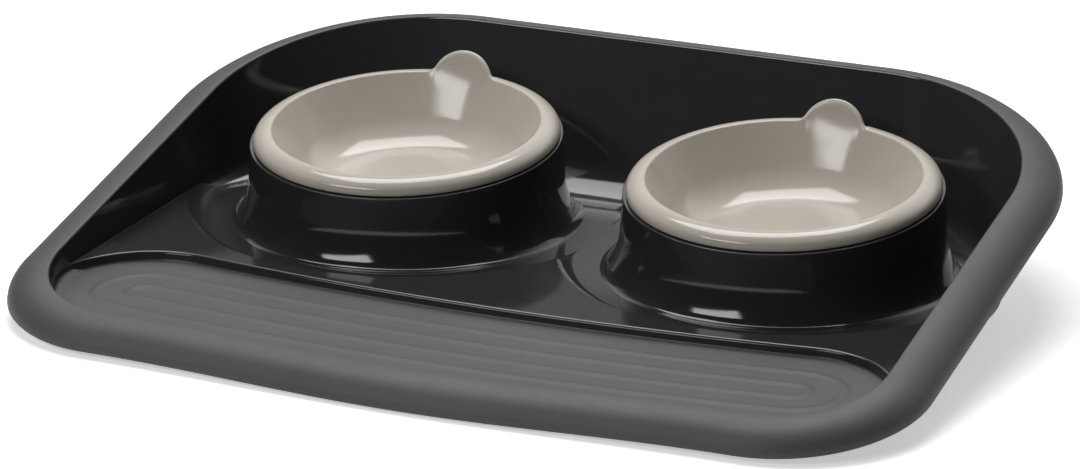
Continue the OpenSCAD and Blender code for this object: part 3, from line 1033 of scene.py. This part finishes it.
    def edge_line(self) -> list[tuple[float, float, float, float, float]]:
        """The platform's front edge from left to right.

        Returns:
            x, y, the direction to the channel, and the share of the step's rounding.
        """
        fade = math.radians(self.step_fade)
        left = []
        for angle in arc_angles(math.pi, math.pi / 2 - self.swing, self.channel_end_steps):
            cx, cy = math.cos(angle), math.sin(angle)
            left.append((
                self.channel_half * cx - self.channel_reach, self.channel_half * cy + self.channel_y,
                -cx, -cy, min(1.0, (math.pi - angle) / fade),
            ))
        r = self.line_r - self.channel_half
        middle = []
        up = 1.5 * math.pi
        for angle in arc_angles(up - self.swing, up + self.swing, self.channel_line_steps)[1:-1]:
            cx, cy = math.cos(angle), math.sin(angle)
            middle.append((r * cx, self.pivot_y + r * cy, cx, cy, 1.0))
        right = [(-x, y, -nx, ny, share) for x, y, nx, ny, share in reversed(left)]
        return left + middle + right

    def platform_ring(self, z: float, out: float) -> Ring:
        """Lays out one level of the platform.

        Args:
            z: its height.
            out: how far its front edge is moved toward the channel.

        Returns:
            The ring.
        """
        ring = [
            Vector((x + nx * share * out, y + ny * share * out, z))
            for x, y, nx, ny, share in self.edge_line()
        ]
        for k in range(self.count):
            p = self.wall_point(k, self.platform_z, self.cove_in_at(k, self.channel_depth) + self.sunk / 2)
            if p.y > self.channel_y + self.channel_half / 2:
                ring.append(Vector((p.x, p.y, z)))
        return ring

    def build_platform(self, hollows: Sequence[bpy.types.Object]) -> bpy.types.Object:
        """Builds the platform with its rounded step and the two recesses.

        Args:
            hollows: the solids of the pedestals' hollows, which go through it.

        Returns:
            The piece.
        """
        r = self.step_r
        rings = []
        turns = arc_angles(0, math.pi / 2, self.step_turn_steps)
        for turn in turns:
            rings.append(self.platform_ring(self.platform_z - r * (1 - math.cos(turn)), r * math.sin(turn)))
        for turn in turns:
            level = self.floor_z + r * (1 - math.sin(turn))
            rings.append(self.platform_ring(level, r * (2 - math.cos(turn))))
        rings.append(self.platform_ring(self.floor_z - self.sunk, 2 * r))
        piece = make_piece(lofted(rings), "tray_platform")
        for side in Side:
            carve(piece, self.recess_tool(side), Cut.TAKE_AWAY)
        for hollow in hollows:
            carve(piece, hollow, Cut.TAKE_AWAY, keep_tool=True)
        settle_shading(piece)
        return piece

    def recess_tool(self, side: Side) -> bpy.types.Object:
        """Makes the space of the shallow recess round a pedestal.

        Args:
            side: which pedestal.

        Returns:
            The space as a solid.
        """
        r = (self.recess_cove_w ** 2 + self.recess_depth ** 2) / (2 * self.recess_depth)
        turn = math.asin(self.recess_cove_w / r)
        high = self.platform_z + self.over
        section = [(0.0, high), (0.0, self.recess_z)]
        for angle in arc_angles(0, turn, self.recess_cove_steps):
            section.append((
                self.recess_r - self.recess_cove_w + r * math.sin(angle),
                self.recess_z + r * (1 - math.cos(angle)),
            ))
        section.append((self.recess_r, high))
        mesh = turned(section, self.recess_steps)
        bmesh.ops.translate(mesh, vec=(side.value * self.spacing / 2, self.bowl_y, 0), verts=mesh.verts)
        return make_piece(mesh, "recess_space")

    def on_cone(self, side: Side, rho: float, zeta: float, theta: float) -> Vector:
        """Finds a point about a bowl's leaning axis.

        Args:
            side: which bowl.
            rho: radius.
            zeta: height along the axis.
            theta: angle.

        Returns:
            The point.
        """
        foot = Vector((side.value * self.spacing / 2, self.bowl_y, self.recess_z))
        across = Vector((math.cos(theta), 0.0, 0.0)) + self.axis_back * math.sin(theta)
        return foot + self.axis_up * zeta + across * rho

    def cone_r(self, z: float, shift: float) -> float:
        """Radius of the pedestal's upright side at a height, moved inward by a shift."""
        return self.pedestal_base_r - self.flare * (z - self.recess_z) - shift

    def bell(self, shift: float, steps: int) -> list[Pair]:
        """The flare of the pedestal's side from its foot up.

        Args:
            shift: how far inside the outer skin it runs.
            steps: number of stretches.

        Returns:
            Radius and height of the points.
        """
        r = self.pedestal_bell_r + shift
        return [
            (self.bell_r - r * math.sin(angle), self.bell_z - r * math.cos(angle))
            for angle in arc_angles(self.bell_end, self.side_turn, steps)
        ]

    def upright(self, side: Side, r: float, z: float, theta: float) -> Vector:
        """A point by radius, height and angle about a pedestal's upright axis."""
        x = side.value * self.spacing / 2
        return Vector((x + r * math.cos(theta), self.pedestal_y + r * math.sin(theta), z))

    def side_top(self, side: Side, zeta: float, shift: float, theta: float) -> Vector:
        """Where the pedestal's side meets a plane square to the bowl's axis.

        Args:
            side: which pedestal.
            zeta: height of the plane along the bowl's axis.
            shift: how far inside its outer skin the line runs.
            theta: angle about the pedestal's axis.

        Returns:
            The point.
        """
        foot = Vector((side.value * self.spacing / 2, self.bowl_y, self.recess_z))
        low, high = self.recess_z, self.recess_z + 2 * self.shoulder
        a = self.upright(side, self.cone_r(low, shift), low, theta)
        b = self.upright(side, self.cone_r(high, shift), high, theta)
        first, last = (a - foot).dot(self.axis_up) - zeta, (b - foot).dot(self.axis_up) - zeta
        return a.lerp(b, first / (first - last))

    def build_pedestal(self, side: Side, inside: bpy.types.Object) -> bpy.types.Object:
        """Builds one hollow pedestal with its foot cove, its shoulder and the ring that carries the bowl.

        Args:
            side: which pedestal.
            inside: the solid that the pedestal is kept inside of.

        Returns:
            The piece.
        """
        angles = round_angles(self.pedestal_steps)
        r, reach = self.pedestal_cove_r, self.foot_end_r

        def level(radius: float, z: float) -> Ring:
            """A level ring round the pedestal's upright axis."""
            return [self.upright(side, radius, z, theta) for theta in angles]

        def leaning(rho: float, zeta: float) -> Ring:
            """A ring round the bowl's leaning axis."""
            return [self.on_cone(side, rho, zeta, theta) for theta in angles]

        rings = [level(reach, self.floor_z - self.pedestal_sunk), level(reach, self.recess_z - self.hair)]
        for angle in arc_angles(0, self.bell_end, self.bell_steps)[1:-1]:
            rings.append(level(reach - r * math.sin(angle), self.recess_z + r * (1 - math.cos(angle))))
        rings += [level(radius, z) for radius, z in self.bell(0.0, self.bell_steps)]
        edge = self.pedestal_edge_r
        low = [self.side_top(side, self.shoulder - edge, 0.0, theta) for theta in angles]
        foot = rings[-1]
        for share in self.side_shares:
            rings.append([a.lerp(b, share) for a, b in zip(foot, low)])
        for angle in arc_angles(0, math.pi / 2, self.pedestal_edge_steps)[1:]:
            zeta = self.shoulder - edge * (1 - math.sin(angle))
            shift = edge * (1 - math.cos(angle))
            rings.append([self.side_top(side, zeta, shift, theta) for theta in angles])
        ring_top = self.axis_crest - self.groove_top - self.ring_gap
        ring_in = self.ring_out_r - self.ring_wall
        neck = self.shoulder - self.pedestal_wall
        bevel = self.wide_bevel
        rings += [
            leaning(self.ring_out_r, self.shoulder), leaning(self.ring_out_r, ring_top - bevel),
            leaning(self.ring_out_r - bevel, ring_top), leaning(ring_in + bevel, ring_top),
            leaning(ring_in, ring_top - bevel), leaning(ring_in, neck),
        ]
        rings.append([self.side_top(side, neck, self.pedestal_wall, theta) for theta in angles])
        inner = self.bell(self.pedestal_wall, self.inner_bell_steps)
        rings += [level(radius, z) for radius, z in reversed(inner)]
        rings.append(level(inner[0][0], self.under_z + self.hair))
        piece = make_piece(lofted(rings, closed=True), f"{side.name.lower()}_pedestal")
        carve(piece, inside, Cut.KEEP_INSIDE, keep_tool=True)
        settle_shading(piece, self.sharp_moulding)
        return piece

    def hollow(self, side: Side, inside: bpy.types.Object) -> bpy.types.Object:
        """Makes the space inside a pedestal, for cutting the floor plate and the platform.

        Args:
            side: which pedestal.
            inside: the solid that the space is kept inside of.

        Returns:
            The space as a solid.
        """
        radius = self.bell(self.pedestal_wall, 1)[0][0] + self.hollow_room
        rings = [
            [self.upright(side, radius, z, theta) for theta in round_angles(self.pedestal_steps)]
            for z in (self.under_z - self.over, self.recess_z + self.hollow_top)
        ]
        piece = make_piece(lofted(rings), "hollow_space")
        carve(piece, inside, Cut.KEEP_INSIDE, keep_tool=True)
        return piece

    def rib_line(self, half: float) -> list[LinePoint]:
        """Lays out the closed line along a rib's crest.

        Args:
            half: how far the crest runs from the channel's middle line.

        Returns:
            x, y and the outward direction of every point.
        """
        made: list[LinePoint] = []
        up = 1.5 * math.pi
        for radius, start, end, face in (
            (self.line_r + half, up - self.swing, up + self.swing, 1),
            (self.line_r - half, up + self.swing, up - self.swing, -1),
        ):
            for angle in arc_angles(start, end, self.rib_line_steps)[:-1]:
                cx, cy = math.cos(angle), math.sin(angle)
                made.append((radius * cx, self.pivot_y + radius * cy, cx * face, cy * face))
            first = self.swing - math.pi / 2 if face > 0 else math.pi / 2 - self.swing
            for angle in arc_angles(first, first + math.pi, self.rib_end_steps)[:-1]:
                cx, cy = math.cos(angle), math.sin(angle)
                made.append((face * self.channel_reach + half * cx, self.channel_y + half * cy, cx, cy))
        return made

    def rib(self, half: float) -> bmesh.types.BMesh:
        """Builds one ring-shaped rib, which is sunk into the channel's floor.

        Args:
            half: how far its crest runs from the channel's middle line.

        Returns:
            The mesh.
        """
        line = self.rib_line(half)
        levels = []
        for share in arc_angles(-1, 1, self.rib_steps):
            rise = self.rib_h * (1 + math.cos(math.pi * share)) / 2 - self.hair
            levels.append((share, self.floor_z + rise))
        for share in (self.rib_foot_share, -self.rib_foot_share):
            levels.append((share, self.floor_z - self.sunk))
        return lofted([
            [
                Vector((x + nx * share * self.rib_w / 2, y + ny * share * self.rib_w / 2, z))
                for x, y, nx, ny in line
            ]
            for share, z in levels
        ], closed=True)

    def build_ribs(self) -> bpy.types.Object:
        """Builds the ring-shaped ribs on the floor of the spill channel."""
        ribs = [self.rib(self.rib_pitch * (i + 0.5)) for i in range(self.rib_count)]
        return make_piece(joined(ribs), "channel_ribs", self.sharp_rib)

    def foot_places(self) -> list[Pair]:
        """Works out where the feet stand.

        Returns:
            x and y of the four centres.
        """
        arm, turn = self.pedestal_base_r + self.rear_foot_gap, math.radians(self.rear_foot_turn)
        x = self.spacing / 2 + arm * math.cos(turn)
        y = self.pedestal_y + arm * math.sin(turn)
        return [(-self.channel_reach, self.channel_y), (self.channel_reach, self.channel_y), (-x, y), (x, y)]

    def channel_zone(self) -> ChannelZone:
        """Works out where the channel's textured floor lies.

        Returns:
            The zone, which fades out low on the step's rounding.
        """
        from_r = self.line_r - self.channel_half - self.step_r
        high = self.floor_z + self.channel_depth * self.zone_height_share
        fade = self.channel_depth * self.zone_fade_share
        return ChannelZone(self.pivot_y, from_r, high - fade, high + fade)

    def build_cups(self) -> bpy.types.Object:
        """Builds the moulded cups under the floor that hold the rubber feet.

        Returns:
            The piece.
        """
        bore = self.foot_r + self.foot_gap
        rim = bore + self.cup_wall
        roof, low, high = self.foot_h, self.foot_show, self.under_z + self.wall / 2
        section = [
            (0.0, roof), (bore, roof), (bore, low + self.bevel), (bore + self.bevel, low),
            (rim - self.wide_bevel, low), (rim, low + self.wide_bevel), (rim, high), (0.0, high),
        ]
        cups = []
        for x, y in self.foot_places():
            cup = turned(section, self.cup_steps)
            bmesh.ops.translate(cup, vec=(x, y, 0), verts=cup.verts)
            cups.append(cup)
        return make_piece(joined(cups), "foot_cups", self.sharp_cup)

    def build(self) -> list[bpy.types.Object]:
        """Builds and dresses every piece of the tray.

        Returns:
            The pieces.
        """
        wide = self.inside(self.under_z - self.deep, self.sunk)
        tight = self.inside(self.under_z - self.deep, -self.sunk)
        hollows = [self.hollow(side, tight) for side in Side]
        basin = self.build_basin()
        for hollow in hollows:
            carve(basin, hollow, Cut.TAKE_AWAY, keep_tool=True)
        settle_shading(basin, self.sharp_moulding)
        pieces = [basin, self.build_platform(hollows)]
        pieces += [self.build_pedestal(side, wide) for side in Side]
        pieces += [self.build_ribs(), self.build_cups()]
        for tool in (wide, tight, *hollows):
            bpy.data.objects.remove(tool)
        for piece in pieces:
            piece.data.materials.clear()
            piece.data.materials.append(self.finish.material(self.channel_zone()))
            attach(piece, Body.TRAY.value)
        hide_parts("tray")
        return pieces


@dataclass
class Bowl:
    """A lift-out bowl with a rolled rim and a finger tab at the back.

    Lengths are in millimetres and angles in degrees.
    """

    side: Side
    tray: Tray
    opening_r: float = 57.6
    rim_r: float = 65.0
    rim_drop: float = 6.1
    roll_drop: float = 5.0
    edge_r: float = 1.2
    wall: float = 2.2
    depth: float = 26.0
    slope: float = 57.0
    bottom_r: float = 22.0
    ear_r: float = 14.6
    ear_h: float = 9.0
    ear_blend_r: float = 5.0
    ear_slope: float = 66.0
    ear_fade: float = 2.5

    # Straight stretch of wall under the rim, where the rim's roll is joined, and the pull behind the tab
    straight: float = 7.0
    roll_join: float = 50.0
    tab_pull_share: float = 1.5

    # Small edges of the rim's skirt and groove
    skirt_r: float = 0.5
    skirt_mid: float = 0.15
    wide_bevel: float = 0.4
    bevel: float = 0.3

    # Angle over which an edge stays sharp, steps of the curves, and shares of the flat bottom
    sharp: float = 50.0
    tab_steps: int = 90
    round_steps: int = 150
    bottom_shares: tuple[float, float, float] = (0.08, 0.4, 0.8)
    under_shares: Pair = (0.5, 0.08)
    bottom_steps: int = 16
    wall_steps: int = 8
    edge_steps: int = 12
    roll_curve_steps: int = 14
    roll_steps: int = 8
    under_steps: int = 14
    finish: BowlPlastic = field(default_factory=BowlPlastic)

    def ear_height(self, x: float) -> float:
        """How far the crest rises above the rim's own crest.

        Args:
            x: distance across from the tab's middle.

        Returns:
            The rise.
        """
        drop = self.ear_r - self.ear_h
        reach = self.ear_r + self.ear_blend_r
        turn = math.asin((drop + self.ear_blend_r) / reach)
        gap = reach * math.cos(turn)
        x = abs(x)
        if x >= gap:
            return 0.0
        if x > self.ear_r * math.cos(turn):
            return self.ear_blend_r - math.sqrt(self.ear_blend_r ** 2 - (gap - x) ** 2)
        return math.sqrt(self.ear_r ** 2 - x * x) - drop

    def angles(self) -> list[float]:
        """Spreads angles round the bowl.

        Returns:
            The angles, closer together at the tab.
        """
        tab = math.asin((self.ear_r + self.ear_blend_r) / self.opening_r)
        made = arc_angles(math.pi / 2 - tab, math.pi / 2 + tab, self.tab_steps)[:-1]
        made += arc_angles(math.pi / 2 + tab, math.pi / 2 - tab + 2 * math.pi, self.round_steps)[:-1]
        return made

    @staticmethod
    def curve(start: Pair, way_out: Pair, end: Pair, way_in: Pair, steps: int) -> list[Pair]:
        """A smooth curve between two points, without its two ends.

        Args:
            start: first point.
            way_out: direction and pull at the first point.
            end: last point.
            way_in: direction and pull at the last point.
            steps: number of stretches.

        Returns:
            The points between the ends.
        """
        made = []
        for i in range(1, steps):
            t = i / steps
            a, b = 2 * t ** 3 - 3 * t ** 2 + 1, t ** 3 - 2 * t ** 2 + t
            c, d = 3 * t ** 2 - 2 * t ** 3, t ** 3 - t ** 2
            made.append(tuple(
                a * start[j] + b * way_out[j] + c * end[j] + d * way_in[j] for j in (0, 1)
            ))
        return made

    def section(self, rise: float) -> list[Pair]:
        """The bowl's half section where the crest stands a certain rise above the rim.

        Args:
            rise: the rise of the tab there, 0 on the plain rim.

        Returns:
            Radius and height from the middle of the inside over the rim to the middle of the underside.
        """
        grown = ease(rise / self.ear_fade)
        slope = math.radians(self.slope)
        wall_way = (math.cos(slope), math.sin(slope))
        tab_slope = math.radians(blend(self.slope, self.ear_slope, grown))
        tab_way = (math.cos(tab_slope), math.sin(tab_slope))
        e = self.edge_r
        ear_slope = math.radians(self.ear_slope)
        centre = (self.opening_r + rise * math.cos(ear_slope) / math.sin(ear_slope), rise - e)
        plain = (self.opening_r - e * math.sin(slope), -e + e * math.cos(slope))
        corner_r = plain[0] - (self.depth + plain[1]) / math.tan(slope)
        reach = self.bottom_r * math.tan(slope / 2)
        flat = corner_r - reach
        made = [(flat * share, -self.depth) for share in self.bottom_shares]
        for turn in arc_angles(0, slope, self.bottom_steps):
            lift = self.bottom_r * (1 - math.cos(turn))
            made.append((flat + self.bottom_r * math.sin(turn), -self.depth + lift))
        low = made[-1]
        knee = (plain[0] - wall_way[0] * self.straight, plain[1] - wall_way[1] * self.straight)
        made.append(((low[0] + knee[0]) / 2, (low[1] + knee[1]) / 2))
        made.append(knee)
        first = (centre[0] - e * math.sin(tab_slope), centre[1] + e * math.cos(tab_slope))
        pull = math.dist(knee, first)
        made += self.curve(
            knee, (wall_way[0] * pull, wall_way[1] * pull), first,
            (tab_way[0] * pull, tab_way[1] * pull), self.wall_steps,
        )
        last_turn = blend(math.pi / 2, tab_slope - math.pi / 2, grown)
        for turn in arc_angles(math.pi / 2 + tab_slope, last_turn, self.edge_steps):
            made.append((centre[0] + e * math.cos(turn), centre[1] + e * math.sin(turn)))
        tip = made[-1]
        roll = self.rim_r - self.opening_r
        join = math.radians(self.roll_join)
        end = (self.opening_r + roll * math.sin(join), self.roll_drop * (math.cos(join) - 1))
        pull = blend(roll * join, self.tab_pull_share * math.dist(tip, end), grown)
        made += self.curve(
            tip, (pull * math.sin(last_turn), -pull * math.cos(last_turn)), end,
            (roll * math.cos(join) * join, -self.roll_drop * math.sin(join) * join), self.roll_curve_steps,
        )
        for turn in arc_angles(join, math.pi / 2, self.roll_steps):
            made.append((self.opening_r + roll * math.sin(turn), self.roll_drop * (math.cos(turn) - 1)))
        inner = self.rim_r - self.wall
        groove = self.wall + e / 2
        run_in = self.wall / math.sin(slope)
        made += [
            (self.rim_r, -self.rim_drop + self.skirt_r),
            (self.rim_r - self.skirt_mid, -self.rim_drop + self.skirt_mid),
            (self.rim_r - self.skirt_r, -self.rim_drop), (inner + self.wide_bevel, -self.rim_drop),
            (inner, -self.rim_drop + self.wide_bevel), (inner, -groove - self.bevel),
            (inner - self.bevel, -groove),
            (plain[0] + run_in - (groove + plain[1]) / math.tan(slope), -groove),
        ]
        outer = self.bottom_r + self.wall
        for turn in arc_angles(slope, 0, self.under_steps):
            made.append((
                flat + outer * math.sin(turn), -self.depth + self.bottom_r - outer * math.cos(turn),
            ))
        made += [(flat * share, -self.depth - self.wall) for share in self.under_shares]
        return made

    def build(self) -> bpy.types.Object:
        """Builds and dresses the bowl.

        Returns:
            The piece.
        """
        angles = self.angles()
        sections = []
        for theta in angles:
            near = math.sin(theta) > 0
            sections.append(self.section(self.ear_height(self.opening_r * math.cos(theta)) if near else 0.0))
        crest = self.tray.axis_crest
        rings = [
            [
                self.tray.on_cone(self.side, section[j][0], crest + section[j][1], theta)
                for section, theta in zip(sections, angles)
            ]
            for j in range(len(sections[0]))
        ]
        name = f"{self.side.name.lower()}_bowl"
        piece = make_piece(lofted(rings), f"{name}_moulding", self.sharp)
        piece.data.materials.append(self.finish.material())
        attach(piece, Body[self.side.name].value)
        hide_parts(name)
        return piece


@dataclass(frozen=True)
class Studio:
    """The pale floor, the soft light and the camera, in metres and watts."""

    eye: tuple[float, float, float] = (0.8233, -1.8576, 0.7209)
    target: tuple[float, float, float] = (-0.01856, 0.03015, 0.0135)
    lens: float = 174.6
    floor_half: float = 6.0
    top_place: tuple[float, float, float] = (-0.3, 0.5, 1.45)
    top_size: tuple[float, float] = (1.2, 0.8)
    top_power: float = 19.0
    front_place: tuple[float, float, float] = (-0.517, -1.22, 0.895)
    front_size: tuple[float, float] = (0.85, 0.28)
    front_power: float = 6.0
    room_front: float = 0.03
    room_back: float = 0.25
    room_high: float = 1.1
    room_turn: tuple[float, float] = (0.4, 0.75)
    room_rise: tuple[float, float] = (0.36, 0.46)
    floor_lift: float = 0.5
    floor_grey: float = 0.9
    floor_rough: float = 0.9
    sensor: float = 36.0
    far: float = 50.0

    def floor(self) -> None:
        """Makes the pale floor, which shows as white and keeps the object's shadow."""
        mesh = bmesh.new()
        bmesh.ops.create_grid(mesh, x_segments=1, y_segments=1, size=self.floor_half / MM)
        piece = make_piece(mesh, "studio_floor")
        made = bpy.data.materials.new("floor_paper")
        made.use_nodes = True
        nodes = Nodes(made.node_tree)
        out = nodes.add("OutputMaterial")
        grey = self.floor_grey
        shader = nodes.add("BsdfPrincipled", Base_Color=(grey, grey, grey, 1.0), Roughness=self.floor_rough)
        shader.inputs["Emission Color"].default_value = (1, 1, 1, 1)
        path = nodes.add("LightPath")
        seen = nodes.maths("MAXIMUM", path.outputs["Is Camera Ray"], path.outputs["Is Glossy Ray"])
        seen = nodes.maths("MAXIMUM", seen, path.outputs["Is Transmission Ray"])
        nodes.link(nodes.maths("MULTIPLY", seen, self.floor_lift), shader.inputs["Emission Strength"])
        nodes.link(shader.outputs[0], out.inputs["Surface"])
        piece.data.materials.append(made)

    def world(self) -> None:
        """Lights the room: dark in front, dim low down behind and pale higher up behind."""
        made = bpy.data.worlds.new("studio_room")
        bpy.context.scene.world = made
        made.use_nodes = True
        nodes = Nodes(made.node_tree)
        out = nodes.add("OutputWorld")
        place = nodes.add("TexCoord")
        split = nodes.add("SeparateXYZ")
        nodes.link(place.outputs["Generated"], split.inputs[0])
        behind = nodes.remap(split.outputs["Y"], *self.room_turn, 0.0, 1.0)
        high = nodes.remap(split.outputs["Z"], *self.room_rise, self.room_back, self.room_high)
        glow = nodes.maths("ADD", nodes.maths("MULTIPLY", behind, high), self.room_front)
        room = nodes.add("Background", Color=(1, 1, 1, 1))
        nodes.link(glow, room.inputs["Strength"])
        nodes.link(room.outputs[0], out.inputs["Surface"])

    def hang(self, name: str, place: Sequence[float], size: Sequence[float], power: float) -> None:
        """Hangs one soft box that faces the object.

        Args:
            name: the lamp's name.
            place: where it hangs, in metres.
            size: its width and height in metres.
            power: its power in watts.
        """
        data = bpy.data.lights.new(name, "AREA")
        data.shape = "RECTANGLE"
        data.size, data.size_y = size
        data.energy = power
        lamp = bpy.data.objects.new(name, data)
        lamp.location = place
        lamp.rotation_euler = (-Vector(place)).to_track_quat("-Z", "Y").to_euler()
        bpy.context.scene.collection.objects.link(lamp)

    def lamps(self) -> None:
        """Hangs one soft box over the object and a low one in front of it."""
        self.hang("top_box", self.top_place, self.top_size, self.top_power)
        self.hang("front_box", self.front_place, self.front_size, self.front_power)

    def camera(self) -> None:
        """Sets the camera at the photograph's angle."""
        data = bpy.data.cameras.new("camera")
        data.sensor_width = self.sensor
        data.lens = self.lens
        data.clip_end = self.far
        view = bpy.data.objects.new("camera", data)
        view.location = self.eye
        aim = Vector(self.target) - Vector(self.eye)
        view.rotation_euler = aim.to_track_quat("-Z", "Y").to_euler()
        bpy.context.scene.collection.objects.link(view)
        bpy.context.scene.camera = view

    def set_up(self) -> None:
        """Sets up the whole studio."""
        bpy.context.scene.view_settings.view_transform = "Standard"
        self.floor()
        self.world()
        self.lamps()
        self.camera()


def dress_feet() -> None:
    """Gives the four rubber feet their finish."""
    finish = FootRubber().material()
    for name in ("front_left_foot", "front_right_foot", "rear_left_foot", "rear_right_foot"):
        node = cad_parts[name]
        node.data.materials.clear()
        node.data.materials.append(finish)
        log.info("dressed %s", name)


def main() -> None:
    """Builds every sub-assembly in order and reports its pieces."""
    Studio().set_up()
    tray = Tray()
    for piece in tray.build():
        log.info("built %s: %d faces", piece.name, len(piece.data.polygons))
    for side in Side:
        piece = Bowl(side, tray).build()
        log.info("built %s: %d faces", piece.name, len(piece.data.polygons))
    dress_feet()


if __name__ == "__main__":
    main()
